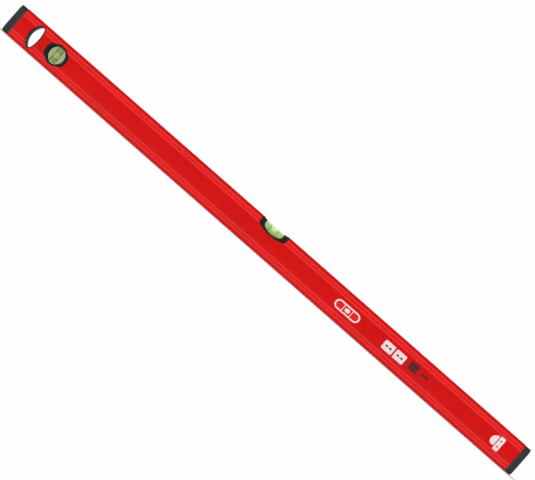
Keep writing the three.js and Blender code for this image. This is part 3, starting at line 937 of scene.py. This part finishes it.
def build_vial(name, body_prefix, spacing, spirit_span, bubble_shape, place, materials, node_names):
    """The spirit, bubble and rings of one vial, made along X and put in place by a matrix."""
    spirit_material, bubble_material, ring_material = materials
    profile = rounded_rod(SPIRIT_RADIUS, *spirit_span, SPIRIT_EDGE)
    spirit = turned(f"{name}_spirit", profile, place @ along_x(Vector()))
    dress(smooth(spirit), spirit_material)
    enter(spirit, "level_body", "vial_liquid", f"{body_prefix}_vial_liquid")
    bubble = loft(f"{name}_gas_bubble", [[place @ point for point in ring]
                                         for ring in bubble_rings(*bubble_shape)])
    dress(smooth(bubble, 50), bubble_material)
    enter(bubble, f"{body_prefix}_bubble", "vial_bubble", f"{body_prefix}_vial_bubble")
    rings = grow(f"{name}_reading_rings", ring_tree(), Count=2, Spacing=spacing, Width=RING_WIDTH,
                 Inner=RING_INNER, Outer=RING_OUTER, Material=ring_material)
    rings.data.transform(place)
    smooth(rings)
    enter(rings, "level_body", "reading_ring", *node_names)


def build_plumb_vial(sizes, inserts, vial_materials):
    """The plumb vial's block, disc-shaped with polished rims, and what it holds."""
    build_plumb_bezels(sizes, inserts)
    low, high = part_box("plumb_vial_block")
    radius, half = (high.x - low.x) / 2, (high.y - low.y) / 2
    facing = Matrix.Translation(PLUMB) @ Matrix.Rotation(math.pi / 2, 4, "X")
    disc = turned("plumb_block", rounded_rod(radius, -half, half, DISC_EDGE), facing)
    # painted shade: this tint is darker and greyer than the level block's, standing in for a shadowed
    # backing seen through the block; its slight green is the acrylic's own
    dress(disc, cast_acrylic("cast_acrylic_plumb", linear("#ABB28C")))
    liquid_low, liquid_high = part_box("plumb_vial_liquid")
    turn = Matrix(((0, -1, 0, 0), (0, 0, -1, 0), (1, 0, 0, 0), (0, 0, 0, 1)))  # X goes up, Z to the front
    upright = Matrix.Translation(PLUMB) @ turn
    start, end = liquid_low.z - PLUMB.z, liquid_high.z - PLUMB.z
    carve(disc, [bore_cutter("plumb_bore", start - FIT, radius + MM, upright @ along_x(Vector()),
                             wetted_acrylic())])
    polish(disc)
    enter(disc, "level_body", "clear_acrylic", "plumb_vial_block")
    build_vial("plumb", "plumb", sizes.ring_spacing_plumb, (start, end),
               PLUMB_BUBBLE, upright, vial_materials, ("plumb_vial_ring_lower", "plumb_vial_ring_upper"))


def build_level_vial(sizes, inserts, vial_materials):
    """The level vial's block, cut square with polished edges, and what it holds."""
    build_cradles(sizes, inserts)
    low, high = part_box("centre_vial_block")
    square = block("level_block", low, high)
    dress(square, cast_acrylic("cast_acrylic_level", linear("#EAF1DF")))
    round_edges(square, SQUARE_EDGE)
    square.data.attributes.remove(square.data.attributes["custom_normal"])
    liquid_low, liquid_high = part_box("centre_vial_liquid")
    place = Matrix.Translation(LEVEL)
    start, end = liquid_low.x - LEVEL.x, liquid_high.x - LEVEL.x
    carve(square, [bore_cutter("level_bore", start - FIT, high.x - LEVEL.x + MM,
                               place @ along_x(Vector()), wetted_acrylic())])
    polish(square)
    enter(square, "level_body", "clear_acrylic", "centre_vial_block")
    build_vial("level", "centre", sizes.ring_spacing_centre, (start, end),
               LEVEL_BUBBLE, place, vial_materials, ("centre_vial_ring_left", "centre_vial_ring_right"))


def build_vials(sizes, colours):
    """Both vials, which share their materials."""
    inserts = moulded_abs(colours.insert)
    contents = (dyed_spirit(colours.spirit), gas_bubble(colours.bubble), ring_lacquer())
    plastic = stopper_plastic()
    build_plumb_vial(sizes, inserts, contents)
    build_level_vial(sizes, inserts, contents)
    for node in ("plumb_vial_stopper", "centre_vial_stopper"):
        stopper = copy_of(node, node.replace("vial_stopper", "bung"))
        round_edges(stopper, STOPPER_EDGE)
        dress(stopper, plastic)
        enter(stopper, "level_body", "vial_stopper", node)


# ---------------------------------------------------------------- the end caps


def copy_of(node, name):
    """A frame node's shape as a clean mesh of its own, with its flat faces whole."""
    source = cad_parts[node].data
    made = bpy.data.objects.new(name, source.copy())
    bpy.context.scene.collection.objects.link(made)
    work = bmesh.new()
    work.from_mesh(made.data)
    bmesh.ops.remove_doubles(work, verts=work.verts, dist=1e-6)
    bmesh.ops.dissolve_limit(work, angle_limit=math.radians(1), verts=work.verts, edges=work.edges)
    work.to_mesh(made.data)
    work.free()
    for attribute in [a.name for a in made.data.attributes if a.name == "custom_normal"]:
        made.data.attributes.remove(made.data.attributes[attribute])
    return made


def build_end_caps(colours):
    """Both end caps: a nylon core in the beam, and a rubber bumper with softly rounded edges."""
    rubber = moulded_rubber(colours.rubber)
    nylon = moulded_nylon()
    for side in ("left", "right"):
        core = copy_of(f"end_cap_{side}_core", f"cap_core_{side}")
        round_edges(core, CORE_EDGE, segments=2)
        dress(core, nylon)
        enter(core, f"{side}_end_cap", "cap_core", f"end_cap_{side}_core")
        bumper = copy_of(f"end_cap_{side}_bumper", f"cap_bumper_{side}")
        round_edges(bumper, BUMPER_EDGE)
        dress(bumper, rubber)
        enter(bumper, f"{side}_end_cap", "cap_rubber", f"end_cap_{side}_bumper")


# ---------------------------------------------------------------- the printed marks


# Middles of the marks in X and Z, in millimetres.
VIAL_MARK = (159, 25)
TILE_MARKS = ((240.2, 24.7), (262, 24.7))
DARK_TILE = (288, 27)
LONG_BAR = (309, 27)
SHORT_BAR = (328, 30)
BADGE = (446.8, 25)
END_TILE = (457.3, 25)

VIAL_LINE = 7.5               # the pictogram's lines stand this far from its middle
DOT = 3.4                     # diameter of a tile's dots, and how far they stand from its middle
DOT_ASIDE = 4
END_DOT = 2.6                 # the same for the two dots one over the other
END_DOT_ASIDE = 5
BEDDING = 0.01 * MM           # the first layer of ink stands this far off the panel


def printed(name, shapes, material, layer, sizes):
    """Flat shapes of ink on the front panel. Each is an outline and its middle, in X and Z."""
    face = -(HALF_WIDTH - sizes.panel_recess)
    base = face - (layer - 1) * sizes.ink_thickness - BEDDING
    vertices, faces = [], []
    for outline, (middle_x, middle_z) in shapes:
        first, count = len(vertices), len(outline)
        for y in (base, base - sizes.ink_thickness):
            vertices += [Vector((middle_x * MM + x, y, middle_z * MM + z)) for x, z in outline]
        faces.append(tuple(range(first, first + count)))
        faces.append(tuple(range(first + count, first + 2 * count)))
        for j in range(count):
            k = (j + 1) % count
            faces.append((first + j, first + k, first + count + k, first + count + j))
    ink = dress(object_of(name, vertices, faces), material)
    smooth(ink, 20)
    enter(ink, "level_body", "beam_coating")


def oval(width, height, steps=32):
    """An oval about its middle, from sizes in millimetres."""
    turns = [math.tau * i / steps for i in range(steps)]
    return [(width / 2 * MM * math.cos(t), height / 2 * MM * math.sin(t)) for t in turns]


def tile(width, height, radius):
    """A rounded rectangle about its middle, from sizes in millimetres."""
    return rounded_box(width * MM, height * MM, radius * MM)


def badge_outline():
    """A flat-bottomed badge: a bowed left side, and a chamfered right one."""
    bow = [(x * MM, z * MM) for x, z in arc(3.5, 0, 8.5, math.radians(125), math.radians(235), 16)]
    return bow + [(x * MM, z * MM) for x, z in ((3.6, -7.5), (4.6, -6), (4.6, 8), (3.6, 10))]


def build_marks(sizes, colours):
    """Plain pictograms: a vial, two tiles with a pair of dots, a tile with bars, and an end badge."""
    white = printed_ink("pad_printed_white", colours.ink)
    dark = printed_ink("pad_printed_dark", linear("#5A0B0B"))
    whites = [(tile(46, 15, 7.4), VIAL_MARK)]
    whites += [(tile(19, 14.8, 2), middle) for middle in TILE_MARKS]
    whites += [(tile(8.8, 23, 1.6), END_TILE), (badge_outline(), BADGE)]
    printed("marks_white", whites, white, 1, sizes)
    red = printed_ink("pad_printed_red", colours.coat)
    printed("marks_vial_field", [(tile(41, 10.6, 5.2), VIAL_MARK)], red, 2, sizes)
    x, z = VIAL_MARK
    bars = [(oval(9, 6.4), VIAL_MARK)]
    bars += [(tile(1.1, 10.6, 0.2), (x + aside, z)) for aside in (-VIAL_LINE, VIAL_LINE)]
    printed("marks_vial_bubble", bars, white, 3, sizes)
    dots = []
    for x, z in TILE_MARKS:
        dots += [(oval(DOT, DOT), (x + aside, z)) for aside in (-DOT_ASIDE, DOT_ASIDE)]
        dots.append((tile(6, 0.9, 0.2), (x, z)))
    x, z = END_TILE
    dots += [(oval(END_DOT, END_DOT), (x, z + aside)) for aside in (-END_DOT_ASIDE, END_DOT_ASIDE)]
    printed("marks_dots", dots, dark, 2, sizes)
    panel = [(tile(16, 14, 1.5), DARK_TILE), (tile(16, 3.4, 0.5), LONG_BAR),
             (tile(17, 1.4, 0.4), SHORT_BAR)]
    printed("marks_dark", panel, dark, 1, sizes)


# ---------------------------------------------------------------- the studio

WHITE = 0.985                 # brightness of the bare surround to the camera
FRONT_FADE = (66, 20)         # the front light grows between these degrees off the level's front and back
STRIP_START = (86, 78)        # the strip grows, and ends, between these degrees off the zenith
STRIP_END = (52, 38)
DARK_CENTRE = 0.01            # brightness of the horizon in the level's sheen, where the panel mirrors
FLOOR_REACH = 60.0
MIRRORED_NEAR = 1.5           # brightness of the floor in the sheen, near the level and far out
MIRRORED_FAR = 0.03
MIRRORED_UNDER = 0.35         # right under the level it has this share of that, and grows over this stretch
MIRROR_START = (0.011, 0.018)
MIRROR_FADE = (0.15, 0.35)    # the floor in the sheen falls from near to far over this stretch
FLOOR_NEAR = 0.05             # the floor takes shadows this far from the level
FLOOR_FAR = 0.16              # and from here on it is as bright as the surround


def remap(tree, value, from_min, from_max, to_min, to_max, kind="SMOOTHSTEP"):
    """A value carried from one range to another."""
    wanted = {"Value": value, "From Min": from_min, "From Max": from_max, "To Min": to_min,
              "To Max": to_max}
    return add(tree, "ShaderNodeMapRange", wanted, interpolation_type=kind).outputs["Result"]


def grow_over(tree, value, degrees, low, high):
    """low to high as a direction's part along an axis comes between two angles off that axis."""
    start, end = (math.cos(math.radians(angle)) for angle in degrees)
    return remap(tree, value, start, end, low, high)


def build_world(stage):
    """A white surround to look at. It lights the front and the back, and its sheen is a strip all round."""
    world = bpy.data.worlds.new("Studio")
    bpy.context.scene.world = world
    world.use_nodes = True
    tree = world.node_tree
    way = add(tree, "ShaderNodeTexCoord").outputs["Generated"]
    parts = add(tree, "ShaderNodeSeparateXYZ", {0: way}).outputs
    facing = maths(tree, "ABSOLUTE", parts["Y"])
    soft = grow_over(tree, facing, FRONT_FADE, stage.side_light, stage.front_light)
    lower = grow_over(tree, parts["Z"], STRIP_START, DARK_CENTRE, stage.strip_light)
    upper = grow_over(tree, parts["Z"], STRIP_END, 1.0, stage.side_light)
    strip = maths(tree, "MULTIPLY", lower, upper)
    rays = add(tree, "ShaderNodeLightPath").outputs
    light = remap(tree, rays["Is Glossy Ray"], 0.0, 1.0, soft, strip, "LINEAR")
    seen = maths(tree, "MAXIMUM", rays["Is Camera Ray"], rays["Is Transmission Ray"])
    strength = remap(tree, seen, 0.0, 1.0, light, WHITE, "LINEAR")
    background = tree.nodes["Background"]
    tree.links.new(strength, background.inputs["Strength"])
    background.inputs["Color"].default_value = (1, 1, 1, 1)


def build_floor():
    """A pale floor that takes soft shadows right under the level and is one with the surround elsewhere."""
    corners = [(x * FLOOR_REACH, y * FLOOR_REACH, 0) for x, y in ((-1, -1), (1, -1), (1, 1), (-1, 1))]
    mesh = bpy.data.meshes.new("floor")
    mesh.from_pydata(corners, [], [(0, 1, 2, 3)])
    floor = bpy.data.objects.new("floor", mesh)
    bpy.context.scene.collection.objects.link(floor)
    material = bpy.data.materials.new("painted_studio_floor")
    material.use_nodes = True
    tree = material.node_tree
    shader = tree.nodes["Principled BSDF"]
    shader.inputs["Base Color"].default_value = linear("#F4F4F3")
    shader.inputs["Roughness"].default_value = 0.9
    shader.inputs["Specular IOR Level"].default_value = 0.1
    place = add(tree, "ShaderNodeTexCoord").outputs["Object"]
    parts = add(tree, "ShaderNodeSeparateXYZ", {0: place}).outputs
    beyond = maths(tree, "SUBTRACT", maths(tree, "ABSOLUTE", parts["X"]), HALF_LENGTH)
    beyond = maths(tree, "MAXIMUM", beyond, 0.0)
    flat = add(tree, "ShaderNodeCombineXYZ", {"X": beyond, "Y": parts["Y"]}).outputs[0]
    distance = add(tree, "ShaderNodeVectorMath", {0: flat}, operation="LENGTH").outputs["Value"]
    fade = remap(tree, distance, FLOOR_NEAR, FLOOR_FAR, 0.0, 1.0)
    rays = add(tree, "ShaderNodeLightPath").outputs
    mirrored_glow = maths(tree, "MULTIPLY", remap(tree, distance, *MIRROR_START, MIRRORED_UNDER, 1.0),
                          remap(tree, distance, *MIRROR_FADE, MIRRORED_NEAR, MIRRORED_FAR))
    sheen = maths(tree, "MULTIPLY", rays["Is Glossy Ray"], rays["Is Reflection Ray"])
    strength = remap(tree, sheen, 0.0, 1.0, WHITE, mirrored_glow, "LINEAR")
    lit = maths(tree, "MAXIMUM", sheen, rays["Is Transmission Ray"])
    fade = maths(tree, "MAXIMUM", fade, lit)
    glow = add(tree, "ShaderNodeEmission", {"Color": (1, 1, 1, 1), "Strength": strength})
    mix = add(tree, "ShaderNodeMixShader", {0: fade, 1: shader.outputs[0], 2: glow.outputs[0]})
    tree.links.new(mix.outputs[0], tree.nodes["Material Output"].inputs["Surface"])
    floor.data.materials.append(material)


def build_camera(stage):
    """A long lens square to the front, rolled so that the level runs downhill to the right."""
    data = bpy.data.cameras.new("Camera")
    data.sensor_width = 36
    data.lens = data.sensor_width * stage.camera_distance / stage.picture_width
    camera = bpy.data.objects.new("Camera", data)
    bpy.context.scene.collection.objects.link(camera)
    roll = Matrix.Rotation(-stage.camera_roll, 4, "Y")
    facing = Matrix.Rotation(math.pi / 2, 4, "X")
    aim = Vector((0, -HALF_WIDTH - stage.camera_distance, MIDDLE)) + Vector(stage.camera_aside)
    camera.matrix_world = Matrix.Translation(aim) @ roll @ facing
    bpy.context.scene.camera = camera


def build_stage(stage):
    """The camera, the surround and the floor."""
    build_camera(stage)
    build_world(stage)
    build_floor()


# ---------------------------------------------------------------- operators


class SPIRITLEVEL_OT_beam(bpy.types.Operator):
    """Sweep the coated beam and mill its openings"""

    bl_idname = "spirit_level.beam"
    bl_label = "Beam"

    def execute(self, context):
        build_beam(context.scene.level_sizes, context.scene.level_colours)
        return {"FINISHED"}


class SPIRITLEVEL_OT_end_caps(bpy.types.Operator):
    """Build the cores and bumpers of both end caps"""

    bl_idname = "spirit_level.end_caps"
    bl_label = "End Caps"

    def execute(self, context):
        build_end_caps(context.scene.level_colours)
        return {"FINISHED"}


class SPIRITLEVEL_OT_hand_hole(bpy.types.Operator):
    """Line the hand hole"""

    bl_idname = "spirit_level.hand_hole"
    bl_label = "Hand Hole"

    def execute(self, context):
        build_hand_hole(context.scene.level_sizes, context.scene.level_colours)
        return {"FINISHED"}


class SPIRITLEVEL_OT_vials(bpy.types.Operator):
    """Build the plumb vial and the level vial with their mouldings"""

    bl_idname = "spirit_level.vials"
    bl_label = "Vials"

    def execute(self, context):
        build_vials(context.scene.level_sizes, context.scene.level_colours)
        return {"FINISHED"}


class SPIRITLEVEL_OT_marks(bpy.types.Operator):
    """Print the plain pictograms on the front panel"""

    bl_idname = "spirit_level.marks"
    bl_label = "Printed Marks"

    def execute(self, context):
        build_marks(context.scene.level_sizes, context.scene.level_colours)
        return {"FINISHED"}


class SPIRITLEVEL_OT_stage(bpy.types.Operator):
    """Set up the camera, floor and lights"""

    bl_idname = "spirit_level.stage"
    bl_label = "Studio"

    def execute(self, context):
        build_stage(context.scene.level_stage)
        return {"FINISHED"}


class SPIRITLEVEL_PT_tools(bpy.types.Panel):
    """Settings and steps of the spirit level"""

    bl_idname = "SPIRITLEVEL_PT_tools"
    bl_label = "Spirit Level"
    bl_space_type = "VIEW_3D"
    bl_region_type = "UI"
    bl_category = "Spirit Level"

    def draw(self, context):
        for group in (context.scene.level_sizes, context.scene.level_colours, context.scene.level_stage):
            column = self.layout.column(align=True)
            for name in group.__annotations__:
                column.prop(group, name)
        for step in STEPS:
            self.layout.operator(step.bl_idname)


STEPS = (
    SPIRITLEVEL_OT_stage,
    SPIRITLEVEL_OT_beam,
    SPIRITLEVEL_OT_end_caps,
    SPIRITLEVEL_OT_hand_hole,
    SPIRITLEVEL_OT_vials,
    SPIRITLEVEL_OT_marks,
)
CLASSES = (LevelSizes, LevelColours, StageSettings, *STEPS, SPIRITLEVEL_PT_tools)


def register():
    for cls in CLASSES:
        bpy.utils.register_class(cls)
    bpy.types.Scene.level_sizes = bpy.props.PointerProperty(type=LevelSizes)
    bpy.types.Scene.level_colours = bpy.props.PointerProperty(type=LevelColours)
    bpy.types.Scene.level_stage = bpy.props.PointerProperty(type=StageSettings)


def unregister():
    del bpy.types.Scene.level_stage
    del bpy.types.Scene.level_colours
    del bpy.types.Scene.level_sizes
    for cls in reversed(CLASSES):
        bpy.utils.unregister_class(cls)


def main():
    """Registers the tools, sets the Standard view transform, and builds everything in order."""
    register()
    bpy.context.scene.view_settings.view_transform = "Standard"
    for step in ("stage", "beam", "end_caps", "hand_hole", "vials", "marks"):
        getattr(bpy.ops.spirit_level, step)()
    bpy.context.view_layer.update()


if __name__ == "__main__":
    main()
